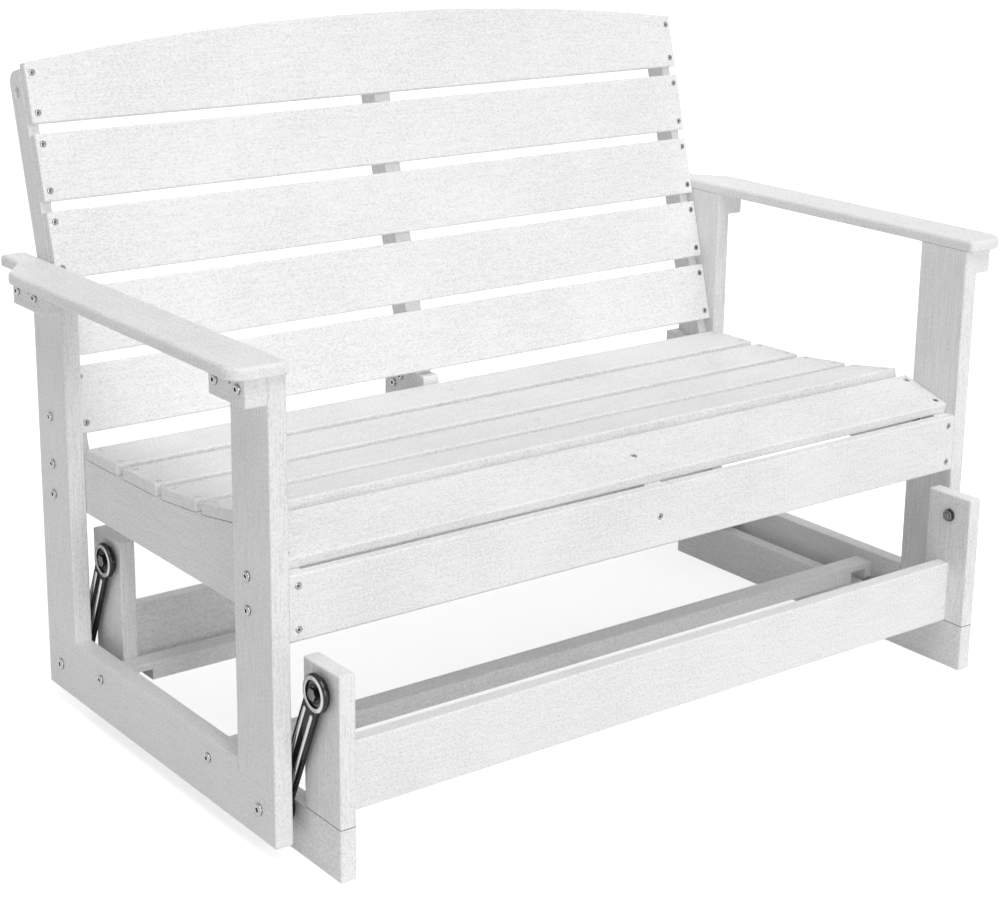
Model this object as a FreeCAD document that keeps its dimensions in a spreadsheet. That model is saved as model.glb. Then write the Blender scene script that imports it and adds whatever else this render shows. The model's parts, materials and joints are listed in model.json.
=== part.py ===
"""Glider bench: a slatted seat that hangs on four swinging links from a low base.

Frame: +X to the right as seen from the front, +Y towards the back, +Z up.  The origin is on the floor,
under the middle of the whole bench.  Sizes are in millimetres, angles in degrees.  The bench is at rest
at the rear end of its swing.  Depths are first worked out from the front face of the front legs, then
moved to the origin.
"""
import FreeCAD, Part
import math
import os
import Sketcher

V = FreeCAD.Vector
doc = FreeCAD.newDocument("GliderBench")

# Driving sizes

SIZES = [
    # Side frames
    ("frame_half", 600, "centre plane to the outer face of the legs"),
    ("leg_thick", 25, "leg and sill board, across the bench"),
    ("leg_width", 88, "leg board, front to back"),
    ("edge_ease", 2.5, "radius along the edges of the boards"),
    ("seam_ease", 0.6, "radius along the edges where boards meet"),
    ("floor_room", 9.1, "sills above the floor at the lowest point of the swing"),
    ("sill_cover", 14, "sills above the stretchers"),
    ("sill_notch", 14.5, "depth of the seats for the legs in the sills"),
    # Arms and arm blocks
    ("arm_rise", 244.6, "underside of the arms above the rear end of the seat rails"),
    ("arm_thick", 16, "arm board"),
    ("arm_overhang", 50, "arm beyond the outer face of the legs"),
    ("arm_nose", 9, "arm in front of the front legs"),
    ("arm_corner", 28, "round of the outer front corner"),
    ("arm_tail", 72, "arm behind the rear legs"),
    ("arm_tail_out", 13, "tail of the arm beyond the outer face of the legs"),
    ("arm_step_front", 36, "start of the step in the arm, in front of the back of the rear legs"),
    ("arm_step_rear", 16, "end of the step in the arm, behind the back of the rear legs"),
    ("arm_step_round", 18, "rounds of the step"),
    ("arm_small_round", 6, "rounds of the other corners of the arm"),
    ("arm_top_ease", 5, "radius along the top edges of the arm"),
    ("block_thick", 29, "arm block, across the bench"),
    ("block_height", 36, "arm block height"),
    ("block_inset", 2, "arm block shorter than the leg at each end"),
    ("block_bolt_in", 16, "bolts of an arm block from its ends"),
    ("block_bolt_drop", 15, "bolts of an arm block below the arm"),
    ("block_hole", 2.4, "radius of the small hole between the bolts"),
    ("block_hole_depth", 14, "depth of the small hole"),
    ("block_hole_drop", 11, "small hole below the arm"),
    ("block_hole_shift", 8, "small hole ahead of the middle of the leg"),
    ("block_lag_wall", 7, "legs beyond the tips of the arm block bolts"),
    ("arm_screw_reach", 10, "depth of the arm screws in the arm"),
    # Base
    ("upright_thick", 22.5, "upright, across the bench"),
    ("upright_width", 80, "upright, front to back"),
    ("upright_extra", 19.5, "uprights further apart than the legs, front to rear"),
    ("foot_height", 69.5, "foot board height"),
    ("base_rail_shift", 4.75, "base rails in from the middle of the uprights"),
    ("base_rail_thick", 22.5, "base rail, front to back"),
    ("base_rail_height", 91, "base rail height"),
    ("base_rail_lift", 1, "base rails above the tops of the feet"),
    # Links and pivots
    ("swing_back", 70.25, "seat behind the middle of the base, bench at rest"),
    ("link_drop", 170.8, "lower pivots below the upper ones, bench at rest"),
    ("pivot_lead", 6.2, "upper pivots ahead of the middle of the base"),
    ("pivot_extra", 11, "pivots further apart than the legs, front to rear"),
    ("pivot_in_sill", 39, "lower pivots above the underside of the sills"),
    ("pivot_cover", 31.7, "uprights above the upper pivots"),
    ("leg_room", 2.8, "heads of the upper pivot bolts to the legs that pass them"),
    ("link_plate", 5, "thickness of the link plate"),
    ("link_width", 31, "width of the link plate"),
    ("eye_wall", 8, "flanges of the eyes round the bearings"),
    ("eye_lip", 1.5, "rims of the eyes above the plate"),
    ("eye_flank", 4.5, "rounds of the outer edges of the eyes"),
    ("eye_mouth", 1.5, "rounds of the mouths of the eyes"),
    ("eye_collar", 3.5, "wall of the collars behind the eyes"),
    ("bearing_radius", 17, "bore of the eyes"),
    ("bearing_seat", 0.04, "play of the bearings in the eyes"),
    ("bearing_width", 8, "width of the bearings"),
    ("bearing_groove", 1, "depth of the groove between the races"),
    ("inner_race", 4.4, "wall of the inner race"),
    ("outer_race", 4, "wall of the outer race"),
    ("rib_width", 7, "round ribs of the links"),
    ("rib_height", 2.4, "ribs above the plate"),
    ("rib_edge", 7.5, "middle of the ribs from the edges of the plate"),
    ("rib_start", 30, "upper end of the ribs below the upper pivot"),
    ("rib_margin", 34, "lower end of the ribs above the lower pivot"),
    ("pivot_bolt", 5, "radius of the pivot bolts"),
    ("pivot_play", 0.1, "play round the pivot bolts in the bearings"),
    ("side_play", 0.3, "play beside the bearings"),
    ("spacer_wall", 3.9, "wall of the spacers on the pivot bolts"),
    ("spacer_upper", 2, "spacer between upright and bearing"),
    ("spacer_lower", 2.3, "spacer between sill and bearing"),
    ("pivot_hex_wall", 3.6, "corners of the pivot hexagons beyond the bolt"),
    ("pivot_hex_high", 5.6, "height of the pivot hexagons"),
    ("pivot_tail", 3, "upper pivot bolts beyond their nuts"),
    ("pivot_head_rim", 3.1, "heads of the lower pivot bolts beyond the bolt"),
    # Stretchers
    ("stop_gap", 1.2, "stretcher to upright at each end of the swing"),
    ("stretcher_width", 32.5, "stretcher, front to back"),
    ("stretcher_web", 9.4, "stretchers above their notches"),
    ("stretcher_lift", 2, "stretchers above the tops of the feet, bench at rest"),
    ("stretcher_room", 2.2, "notches above the feet at the lowest point of the swing"),
    ("notch_side", 4, "notch of a stretcher beyond the foot, each side"),
    ("stretcher_wall", 2, "stretcher bolts short of the notches"),
    # Seat frame
    ("apron_set", 1, "apron behind the front face of the legs"),
    ("apron_thick", 16, "apron board"),
    ("apron_room", 4.1, "apron above the uprights at the lowest point of the swing"),
    ("apron_height", 84, "apron height"),
    ("apron_rise", 0.4, "apron above the front lower edge of the front slat"),
    ("apron_screw_edge", 14.5, "apron screws from its long edges"),
    ("apron_screw_reach", 13, "depth of the apron screws in the rails"),
    ("seat_rail_thick", 25, "side seat rails, across the bench"),
    ("seat_rail_rise", 10, "underside of the seat rails above that of the apron"),
    ("centre_rail_thick", 28, "centre seat rail and centre stile, across the bench"),
    ("cross_rail_thick", 16, "rear cross rail, front to back"),
    ("cross_rail_drop", 8.3, "rear cross rail below the rear end of the seat rails"),
    ("heel_rise", 26.6, "heel of the centre rail above the rear end of the seat rails"),
    ("heel_drop", 29.4, "underside of the heel below the rear end of the seat rails"),
    ("heel_behind", 104, "back of the heel behind the front of the rear legs"),
    ("heel_clear", 5, "heel behind the rear seat slat"),
    # Slats of the seat
    ("slat_thick", 16, "seat and back slats"),
    ("slat_clear", 0.4, "ends of the slats short of the legs"),
    ("seat_slat_width", 90, "seat slats"),
    ("seat_slat_gap", 16, "gap between the seat slats"),
    ("front_slat_tuck", 6.3, "front slat closer to the next"),
    ("front_slat_clear", 3.1, "front slat behind the apron"),
    ("slat_one_dip", 16.5, "front slat: slope down to the front"),
    ("slat_two_lift", 10.6, "second slat above the front one, at the middle"),
    ("slat_two_rise", 9, "second slat: slope up to the front"),
    ("slat_three_drop", 2.2, "third slat below the front one, at the middle"),
    ("slat_three_rise", 5.6, "third slat: slope up to the front"),
    ("slat_four_drop", 7.6, "fourth slat below the front one, at the middle"),
    ("slat_four_rise", 1.15, "fourth slat: slope up to the front"),
    ("slat_five_drop", 9, "rear slat below the front one, at the middle"),
    ("slat_five_rise", 0.7, "rear slat: slope up to the front"),
    # Back
    ("seat_back_gap", 11.7, "lowest back slat behind the rear seat slat"),
    ("back_set", 7.7, "lowest back slat behind the front of the rear legs"),
    ("back_over_heel", 7.6, "front lower edge of the back above the heel"),
    ("back_tilt", 14.85, "lean of the back"),
    ("back_slat_width", 92, "back slats"),
    ("back_slat_gap", 13.7, "gap between the back slats"),
    ("crown_end", 83.2, "top slat at its ends"),
    ("crown_rise", 37, "arch of the top slat"),
    ("stile_thick", 16, "outer stiles, across the bench"),
    ("stile_depth", 38, "stiles behind the slats"),
    ("stile_drop", 6, "stiles below the ends of the top slat"),
    ("stile_round", 18, "round of the top of the stiles"),
    ("stile_hole", 8.5, "radius of the hole near the top of the outer stiles"),
    ("stile_hole_drop", 30, "hole below the top of the stiles"),
    ("stile_bolt_rise", 19.4, "bolts of the outer stiles above the lower edge of the back"),
    ("plate_thick", 4, "splice plate"),
    ("plate_width", 35, "splice plate, front to back"),
    ("plate_clear", 1.5, "splice plate above the rear cross rail"),
    ("plate_rise", 71, "splice plate above the heel"),
    ("plate_edge", 8, "bolts of the splice plate from its edges"),
    ("plate_stile_in", 10, "bolts of the splice plate from the back of the centre stile"),
    ("plate_bolt_one", 26, "lowest bolt of the splice plate below the top of the heel"),
    ("plate_bolt_two", 11, "second bolt below the top of the heel"),
    ("plate_bolt_three", 39, "third bolt above the heel"),
    ("plate_bolt_four", 59, "fourth bolt above the heel"),
    # Fasteners
    ("rail_bolt_drop", 13.4, "upper seat rail bolts below the rear end of the rails"),
    ("rail_bolt_rise", 20, "lower seat rail bolts above the underside of the rails"),
    ("rail_bolt_front", 11, "front seat rail bolts behind the middle of the front legs"),
    ("rail_bolt_rear", 3, "rear seat rail bolts behind the middle of the rear legs"),
    ("bolt_shank", 4, "radius of the bolts"),
    ("bolt_head_rim", 2.6, "heads of the bolts beyond the shank"),
    ("bolt_head_high", 3.6, "height of the bolt heads"),
    ("bolt_play", 0.15, "play of bolts, screws and dowels in their holes"),
    ("nut_play", 0.05, "play of nuts and washers on their bolts"),
    ("nut_wall", 3, "corners of the nuts beyond the bolt"),
    ("nut_high", 5, "height of the nuts"),
    ("washer_rim", 5, "washers beyond the bolt"),
    ("washer_thick", 1.6, "washer thickness"),
    ("lag_reach", 40, "depth of the long bolts in the last board"),
    ("tip_room", 1, "holes beyond the tips of bolts and screws"),
    ("screw_shank", 2, "radius of the screws"),
    ("screw_head_rim", 2.2, "heads of the screws beyond the shank"),
    ("screw_head_high", 1.7, "height of the screw heads"),
    ("screw_sink", 2, "depth of the counterbores"),
    ("screw_sink_play", 0.6, "counterbores wider than the heads"),
    ("screw_reach", 21, "depth of the screws in the second board"),
    ("screw_edge", 14.3, "screws from the long edges of the slats"),
    ("back_screw_in", 5.5, "screws of the back from the inner faces of the outer stiles"),
    ("dowel_radius", 5, "dowels"),
    ("dowel_reach", 25, "depth of the dowels in each board"),
    ("dowel_short", 15, "depth of the dowels in the uprights and sills"),
    ("dowel_edge", 20, "dowels from the edges of the boards"),
    ("dowel_apart", 2, "upright dowels in the rails clear of those in the feet"),
]

sheet = doc.addObject("Spreadsheet::Sheet", "dims")
for row, (alias, number, meaning) in enumerate(SIZES, start=1):
    sheet.set(f"A{row}", meaning)
    sheet.set(f"B{row}", str(number))
    sheet.setAlias(f"B{row}", alias)
doc.recompute()


class Size:
    """A size of the bench: its formula over the sheet, and its present value."""

    def __init__(self, formula, value):
        self.formula = formula
        self.value = value

    def __add__(self, other):
        other = as_size(other)
        return Size(f"({self.formula} + {other.formula})", self.value + other.value)

    def __sub__(self, other):
        other = as_size(other)
        return Size(f"({self.formula} - {other.formula})", self.value - other.value)

    def __mul__(self, other):
        other = as_size(other)
        return Size(f"({self.formula} * {other.formula})", self.value * other.value)

    def __truediv__(self, other):
        other = as_size(other)
        return Size(f"({self.formula} / {other.formula})", self.value / other.value)

    def __neg__(self):
        return Size(f"(0 - {self.formula})", -self.value)

    def __radd__(self, other):
        return as_size(other) + self

    def __rsub__(self, other):
        return as_size(other) - self

    def __rmul__(self, other):
        return as_size(other) * self


def as_size(number):
    return number if isinstance(number, Size) else Size(f"({number})", float(number))


def sine(angle):
    return Size(f"sin({angle.formula} * 1deg)", math.sin(math.radians(angle.value)))


def cosine(angle):
    return Size(f"cos({angle.formula} * 1deg)", math.cos(math.radians(angle.value)))


def tangent(angle):
    return Size(f"tan({angle.formula} * 1deg)", math.tan(math.radians(angle.value)))


def root(number):
    return Size(f"sqrt({number.formula})", math.sqrt(number.value))


def slope(rise, run):
    """The angle of a slope, in degrees."""
    return Size(f"(atan({rise.formula} / {run.formula}) / 1deg)",
                math.degrees(math.atan(rise.value / run.value)))


class Dims:
    """The sheet's sizes by name."""

    def __getattr__(self, alias):
        return Size(f"dims.{alias}", float(sheet.get(alias)))


d = Dims()
ZERO = as_size(0)
SIDES = (("left", -1), ("right", 1))
ENDS = ("front", "rear")

# Heights, from the floor up: the swing, the sills, the pivots, the uprights, the apron

link_run = d.swing_back + d.pivot_lead
link_length = root(d.link_drop * d.link_drop + link_run * link_run)
link_slant = slope(link_run, d.link_drop)
stop_run = 2 * d.swing_back - link_run
stop_slant = slope(stop_run, root(link_length * link_length - stop_run * stop_run))
seat_sink = link_length - d.link_drop
sill_bottom = d.floor_room + seat_sink
pivot_low = sill_bottom + d.pivot_in_sill
pivot_high = pivot_low + d.link_drop
upright_top = pivot_high + d.pivot_cover
base_rail_low = d.foot_height + d.base_rail_lift
stretcher_low = d.foot_height + d.stretcher_lift
notch_high = seat_sink + d.stretcher_room - d.stretcher_lift
stretcher_height = notch_high + d.stretcher_web
stretcher_mid = stretcher_low + stretcher_height / 2
sill_top = stretcher_low + stretcher_height + d.sill_cover
leg_foot = sill_top - d.sill_notch
apron_bottom = upright_top + seat_sink + d.apron_room
apron_top = apron_bottom + d.apron_height
seat_rail_bottom = apron_bottom + d.seat_rail_rise

# Distances from the centre plane

inner = d.frame_half - d.leg_thick
slat_end = inner - d.slat_clear
link_gap = d.spacer_upper + 2 * d.side_play + d.bearing_width + d.pivot_hex_high + d.leg_room
upright_out = inner - link_gap
upright_in = upright_out - d.upright_thick
seat_rail_in = inner - d.seat_rail_thick
seat_screw_x = inner - d.seat_rail_thick / 2
stile_in = inner - d.stile_thick
back_screw_x = stile_in + d.back_screw_in
centre_half = d.centre_rail_thick / 2

# Seat slats, from front to rear: the middle of the underside, and the slope up to the front

half_slat = d.seat_slat_width / 2
seat_pitch = d.seat_slat_width + d.seat_slat_gap
apron_back = d.apron_set + d.apron_thick


class SeatSlat:
    """Where a seat slat lies, with the front and rear edges of its underside."""

    def __init__(self, y, z, rise):
        self.y, self.z, self.rise = y, z, rise
        self.front = self.at(-half_slat)
        self.rear = self.at(half_slat)

    def at(self, reach):
        """The point of the underside that lies reach behind the middle."""
        return self.y + reach * cosine(self.rise), self.z - reach * sine(self.rise)


slat_one = SeatSlat(apron_back + d.front_slat_clear + half_slat * cosine(d.slat_one_dip),
                    apron_top - d.apron_rise + half_slat * sine(d.slat_one_dip), -d.slat_one_dip)
slat_two = SeatSlat(slat_one.y + seat_pitch - d.front_slat_tuck, slat_one.z + d.slat_two_lift,
                    d.slat_two_rise)
slat_three = SeatSlat(slat_two.y + seat_pitch, slat_one.z - d.slat_three_drop, d.slat_three_rise)
slat_four = SeatSlat(slat_three.y + seat_pitch, slat_one.z - d.slat_four_drop, d.slat_four_rise)
slat_five = SeatSlat(slat_four.y + seat_pitch, slat_one.z - d.slat_five_drop, d.slat_five_rise)
seat_slats = [slat_one, slat_two, slat_three, slat_four, slat_five]

# What stands on the rear end of the seat

seat_flat = slat_five.rear[1]
heel_top = seat_flat + d.heel_rise
heel_bottom = seat_flat - d.heel_drop
cross_rail_top = seat_flat - d.cross_rail_drop
arm_level = seat_flat + d.arm_rise
back_y = slat_five.rear[0] + d.seat_back_gap
back_z = heel_top + d.back_over_heel
back_pitch = d.back_slat_width + d.back_slat_gap
back_turn = 90 - d.back_tilt
stile_top = 4 * back_pitch + d.crown_end - d.stile_drop
stile_back = d.slat_thick + d.stile_depth
stile_middle = d.slat_thick + d.stile_depth / 2


def back_depth(z, behind):
    """The depth, at a height, of what lies behind the front faces of the back slats."""
    return back_y + (z - back_z) * tangent(d.back_tilt) + behind / cosine(d.back_tilt)


# Depths of the frames

rear_leg_y = back_y - d.back_set
frame_depth = rear_leg_y + d.leg_width
seat_mid = frame_depth / 2
base_mid = seat_mid - d.swing_back
half_uprights = (rear_leg_y + d.upright_extra) / 2
half_pivots = (rear_leg_y + d.pivot_extra) / 2
half_width = d.upright_width / 2
base_front = base_mid - half_uprights - half_width
base_depth = 2 * half_uprights + d.upright_width
leg_ys = {"front": ZERO, "rear": rear_leg_y}
leg_mids = {"front": d.leg_width / 2, "rear": rear_leg_y + d.leg_width / 2}
upright_mids = {"front": base_mid - half_uprights, "rear": base_mid + half_uprights}
rail_mids = {"front": upright_mids["front"] + d.base_rail_shift,
             "rear": upright_mids["rear"] - d.base_rail_shift}
upper_mid = base_mid - d.pivot_lead
upper_pivots = {"front": upper_mid - half_pivots, "rear": upper_mid + half_pivots}
lower_pivots = {"front": seat_mid - half_pivots, "rear": seat_mid + half_pivots}
half_stretcher = d.stretcher_width / 2
stretcher_reach = upright_mids["rear"] - half_width - d.stop_gap - half_stretcher - seat_mid
stretcher_mids = {"front": seat_mid - stretcher_reach, "rear": seat_mid + stretcher_reach}
rail_bolt_ys = {"front": leg_mids["front"] + d.rail_bolt_front, "rear": leg_mids["rear"] + d.rail_bolt_rear}
rail_bolt_zs = (seat_flat - d.rail_bolt_drop, seat_rail_bottom + d.rail_bolt_rise)

# The hindmost point of the bench is on the round at the top of the stiles.
back_reach = (back_y + (stile_top - d.stile_round) * sine(d.back_tilt)
              + (stile_back - d.stile_round) * cosine(d.back_tilt) + d.stile_round)
origin_y = (base_front + back_reach) / 2

AX, AY, AZ = V(1, 0, 0), V(0, 1, 0), V(0, 0, 1)
TURNS = {"+x": (AY, 90), "-x": (AY, -90), "+y": (AX, -90), "-y": (AX, 90), "+z": (AX, 0), "-z": (AX, 180)}
pieces = []


def bind(thing, **sizes):
    for name, size in sizes.items():
        thing.setExpression(name, as_size(size).formula)


def bind_place(thing, x, y, z):
    for name, size in (("x", x), ("y", y), ("z", z)):
        thing.setExpression(f"Placement.Base.{name}", as_size(size).formula)


def near_low(side, near, far):
    """Low X of something that reaches from near to far out from the centre plane, on one side."""
    return near if side > 0 else -far


def inward(side):
    return "-x" if side > 0 else "+x"


def outward(side):
    return "+x" if side > 0 else "-x"


def along(edge, axis):
    """Whether an edge is straight and runs along the axis."""
    if len(edge.Vertexes) != 2 or edge.Curve.TypeId != "Part::GeomLine":
        return False
    step = edge.Vertexes[1].Point - edge.Vertexes[0].Point
    return step.Length - abs(step.dot(axis)) < 1e-6


def is_ring(edge, radius):
    """Whether an edge is a circle of this radius."""
    return edge.Curve.TypeId == "Part::GeomCircle" and abs(edge.Curve.Radius - radius.value) < 1e-3


def at_level(edge, axis, place):
    """Whether an edge lies wholly at one place along the axis."""
    box = edge.BoundBox
    low = V(box.XMin, box.YMin, box.ZMin).dot(axis)
    high = V(box.XMax, box.YMax, box.ZMax).dot(axis)
    return abs(high - low) < 1e-4 and abs(low - place.value) < 1e-3


class Piece:
    """One piece of the bench, made in its own axes and put in its place."""

    def __init__(self, label, x, y, z, turn=None):
        self.body = doc.addObject("PartDesign::Body", label)
        self.body.Label = label
        self.at = (as_size(x), as_size(y), as_size(z))
        if turn is not None:
            self.body.Placement = FreeCAD.Placement(V(), FreeCAD.Rotation(AX, turn.value))
            bind(self.body, **{"Placement.Rotation.Angle": turn})
        bind_place(self.body, x, y - origin_y, z)
        pieces.append(self.body)

    def feature(self, kind, name):
        return self.body.newObject(kind, f"{self.body.Name}_{name}")

    def blank(self, length, width, height, x=0, y=0, z=0, kind="PartDesign::AdditiveBox"):
        box = self.feature(kind, "blank")
        bind(box, Length=length, Width=width, Height=height)
        bind_place(box, x, y, z)
        return self

    def round_bar(self, x, y, z, axis, radius, length, kind="PartDesign::AdditiveCylinder"):
        bar = self.feature(kind, "round")
        bar.Placement = FreeCAD.Placement(V(), FreeCAD.Rotation(*TURNS[axis]))
        bind(bar, Radius=radius, Height=length)
        bind_place(bar, x, y, z)
        return self

    def ball(self, x, y, z, radius):
        ball = self.feature("PartDesign::AdditiveSphere", "ball")
        bind(ball, Radius=radius)
        bind_place(ball, x, y, z)
        return self

    def outline(self, plane, points, depth, arch=None):
        """A flat outline of straight lines, made as thick as depth; arch turns one line into an arc."""
        sketch = self.feature("Sketcher::SketchObject", "outline")
        origin_plane = [o for o in self.body.Origin.OriginFeatures if o.Role == plane][0]
        sketch.AttachmentSupport = [(origin_plane, "")]
        sketch.MapMode = "FlatFace"
        points = [(as_size(a), as_size(b)) for a, b in points]
        corners = [V(a.value, b.value, 0) for a, b in points]
        count = len(points)
        for i, start in enumerate(corners):
            end = corners[(i + 1) % count]
            if arch is not None and i == arch[0]:
                crest = (start + end) / 2 + V(0, arch[1].value, 0)
                sketch.addGeometry(Part.ArcOfCircle(start, crest, end))
            else:
                sketch.addGeometry(Part.LineSegment(start, end))
        for i, (a, b) in enumerate(points):
            for kind, size in (("DistanceX", a), ("DistanceY", b)):
                number = sketch.addConstraint(Sketcher.Constraint(kind, -1, 1, i, 1, size.value))
                bind(sketch, **{f"Constraints[{number}]": size})
            sketch.addConstraint(Sketcher.Constraint("Coincident", i, 2, (i + 1) % count, 1))
        if arch is not None:
            number = sketch.addConstraint(Sketcher.Constraint("Radius", arch[0], arch[2].value))
            bind(sketch, **{f"Constraints[{number}]": arch[2]})
        pad = self.feature("PartDesign::Pad", "board")
        pad.Profile = sketch
        bind(pad, Length=depth)
        return self

    def ease(self, radius, chosen=None):
        """Rounds along the edges of the piece that chosen picks, or along all of them."""
        doc.recompute()
        base = self.body.Tip
        names = [f"Edge{i}" for i, edge in enumerate(base.Shape.Edges, start=1)
                 if chosen is None or chosen(edge)]
        fillet = self.feature("PartDesign::Fillet", "ease")
        fillet.Base = (base, names)
        bind(fillet, Radius=radius)
        return self

    def drill(self, x, y, z, axis, radius, depth):
        """A round hole in the piece's own axes."""
        return self.round_bar(x, y, z, axis, radius, depth, "PartDesign::SubtractiveCylinder")

    def drill_at(self, x, y, z, axis, radius, depth):
        """A round hole at a place of the bench, in a piece that isn't turned."""
        return self.drill(x - self.at[0], y - self.at[1], z - self.at[2], axis, radius, depth)

    def drill_turned(self, x, y, z, angle, radius, depth):
        """A round hole at a place of the bench, turned about X from straight up."""
        bar = self.feature("PartDesign::SubtractiveCylinder", "hole")
        bar.Placement = FreeCAD.Placement(V(), FreeCAD.Rotation(AX, angle.value))
        bind(bar, Radius=radius, Height=depth)
        bind(bar, **{"Placement.Rotation.Angle": angle})
        bind_place(bar, x - self.at[0], y - self.at[1], z - self.at[2])
        return self


def board(label, x, y, z, length, width, height, ease=d.edge_ease, seams=()):
    """A straight board with eased edges, by its low corner; the edges at the seams are almost sharp."""
    piece = Piece(label, x, y, z).blank(length, width, height)
    piece.ease(ease, lambda edge: not any(at_level(edge, *seam) for seam in seams))
    if seams:
        piece.ease(d.seam_ease, lambda edge: any(at_level(edge, *seam) for seam in seams))
    return piece


bolt_hole = d.bolt_shank + d.bolt_play
screw_hole = d.screw_shank + d.bolt_play
screw_bore = d.screw_shank + d.screw_head_rim + d.screw_sink_play
dowel_hole = d.dowel_radius + d.bolt_play
pivot_hole = d.pivot_bolt + d.bolt_play
base_dowels, frame_dowels = [], []

# Base: feet, uprights and rails

rail_dowel_zs = (base_rail_low + d.dowel_reach + d.dowel_apart + d.dowel_radius,
                 base_rail_low + d.base_rail_height - d.dowel_edge)
foot_dowel_reach = half_width - d.dowel_edge
for side_name, side in SIDES:
    side_low = near_low(side, upright_in, upright_out)
    side_mid = side * (upright_in + upright_out) / 2
    foot = board(f"foot_{side_name}", side_low, base_front, ZERO, d.upright_thick, base_depth, d.foot_height,
                 seams=[(AZ, d.foot_height)])
    for end in ENDS:
        upright = board(f"upright_{end}_{side_name}", side_low, upright_mids[end] - half_width, d.foot_height,
                        d.upright_thick, d.upright_width, upright_top - d.foot_height, seams=[(AZ, ZERO)])
        upright.drill_at(side_low, upper_pivots[end], pivot_high, "+x", pivot_hole, d.upright_thick)
        for place in (upright_mids[end] - foot_dowel_reach, upright_mids[end] + foot_dowel_reach):
            upright.drill_at(side_mid, place, d.foot_height, "+z", dowel_hole, d.dowel_reach)
            foot.drill_at(side_mid, place, d.foot_height, "-z", dowel_hole, d.dowel_reach)
            base_dowels.append((side_mid, place, d.foot_height, AZ, d.dowel_reach, d.dowel_reach))
        for z in rail_dowel_zs:
            joint = (side * upright_in, rail_mids[end], z)
            upright.drill_at(*joint, outward(side), dowel_hole, d.dowel_short)
            base_dowels.append((*joint, AX * side, d.dowel_reach, d.dowel_short))

for end in ENDS:
    rail = board(f"base_rail_{end}", -upright_in, rail_mids[end] - d.base_rail_thick / 2, base_rail_low,
                 2 * upright_in, d.base_rail_thick, d.base_rail_height,
                 seams=[(AX, ZERO), (AX, 2 * upright_in)])
    for _, side in SIDES:
        for z in rail_dowel_zs:
            rail.drill_at(side * upright_in, rail_mids[end], z, inward(side), dowel_hole, d.dowel_reach)

# Links: a stamped plate with a flanged eye at each end, a collar behind it and a bearing in it

plate_near = upright_out + (link_gap - d.link_plate) / 2
plate_far = plate_near + d.link_plate
upper_near = upright_out + d.spacer_upper + d.side_play
upper_far = upper_near + d.bearing_width
lower_far = inner - d.spacer_lower - d.side_play
lower_near = lower_far - d.bearing_width
eye_radius = d.bearing_radius + d.eye_wall
collar_radius = d.bearing_radius + d.eye_collar
race_inner = d.pivot_bolt + d.pivot_play + d.inner_race
race_outer = d.bearing_radius - d.bearing_seat - d.outer_race
rib_length = link_length - d.rib_start - d.rib_margin
rib_side = d.link_width / 2 - d.rib_edge
rib_radius = d.rib_width / 2
rib_axis = plate_far + d.rib_height - rib_radius
upper_rim = plate_far + d.eye_lip
lower_rim = plate_near - d.eye_lip
flanges = ((plate_near, upper_rim, ZERO), (lower_rim, plate_far, -link_length))
collars = ((upper_near, plate_far, ZERO), (plate_near, lower_far, -link_length))
bores = ((upper_near, upper_rim, ZERO), (lower_rim, lower_far, -link_length))
bearing_places = ((upper_near, upper_far, ZERO), (lower_near, lower_far, -link_length))

for side_name, side in SIDES:
    for end in ENDS:
        link = Piece(f"link_{end}_{side_name}", ZERO, upper_pivots[end], pivot_high, link_slant)
        link.body.AllowCompound = True
        for near, far, z in flanges:
            link.round_bar(near_low(side, near, far), 0, z, "+x", eye_radius, far - near)
        for rim in (upper_rim, lower_rim):
            link.ease(d.eye_flank, lambda edge: at_level(edge, AX, side * rim))
        for near, far, z in collars:
            link.round_bar(near_low(side, near, far), 0, z, "+x", collar_radius, far - near)
        link.blank(d.link_plate, d.link_width, link_length,
                   near_low(side, plate_near, plate_far), -d.link_width / 2, -link_length)
        for reach in (-rib_side, rib_side):
            link.round_bar(side * rib_axis, reach, -d.rib_start - rib_length, "+z", rib_radius, rib_length)
            for z in (-d.rib_start, -d.rib_start - rib_length):
                link.ball(side * rib_axis, reach, z, rib_radius)
        for near, far, z in bores:
            link.drill(near_low(side, near, far), 0, z, "+x", d.bearing_radius, far - near)
        link.ease(d.eye_mouth, lambda edge: is_ring(edge, d.bearing_radius)
                  and (at_level(edge, AX, side * upper_rim) or at_level(edge, AX, side * lower_rim)))

        bearings = Piece(f"link_bearings_{end}_{side_name}", ZERO, upper_pivots[end], pivot_high, link_slant)
        bearings.body.AllowCompound = True
        for near, far, z in bearing_places:
            bearings.round_bar(near_low(side, near, far), 0, z, "+x",
                               d.bearing_radius - d.bearing_seat, d.bearing_width)
        for near, far, z in bearing_places:
            low = near_low(side, near, far)
            for groove in (low, low + d.bearing_width - d.bearing_groove):
                bearings.drill(groove, 0, z, "+x", race_outer, d.bearing_groove)
            bearings.round_bar(low, 0, z, "+x", race_inner, d.bearing_width)
            bearings.drill(low, 0, z, "+x", d.pivot_bolt + d.pivot_play, d.bearing_width)

# Side frames: sills, legs, arm blocks and arms

stile_bolt_z = back_z + d.stile_bolt_rise
stile_bolt_y = back_depth(stile_bolt_z, stile_middle)
block_bolt_z = arm_level - d.block_bolt_drop
block_bolt_reach = d.leg_width / 2 - d.block_inset - d.block_bolt_in
block_lag = d.leg_thick - d.block_lag_wall
block_out = d.frame_half + d.block_thick
block_mid = d.frame_half + d.block_thick / 2
arm_outer = d.frame_half + d.arm_overhang
arm_tail_x = d.frame_half + d.arm_tail_out
arm_rear = frame_depth + d.arm_tail
step_front = frame_depth - d.arm_step_front
step_rear = frame_depth + d.arm_step_rear
leg_dowel_reach = d.leg_width / 2 - d.dowel_edge

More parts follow.
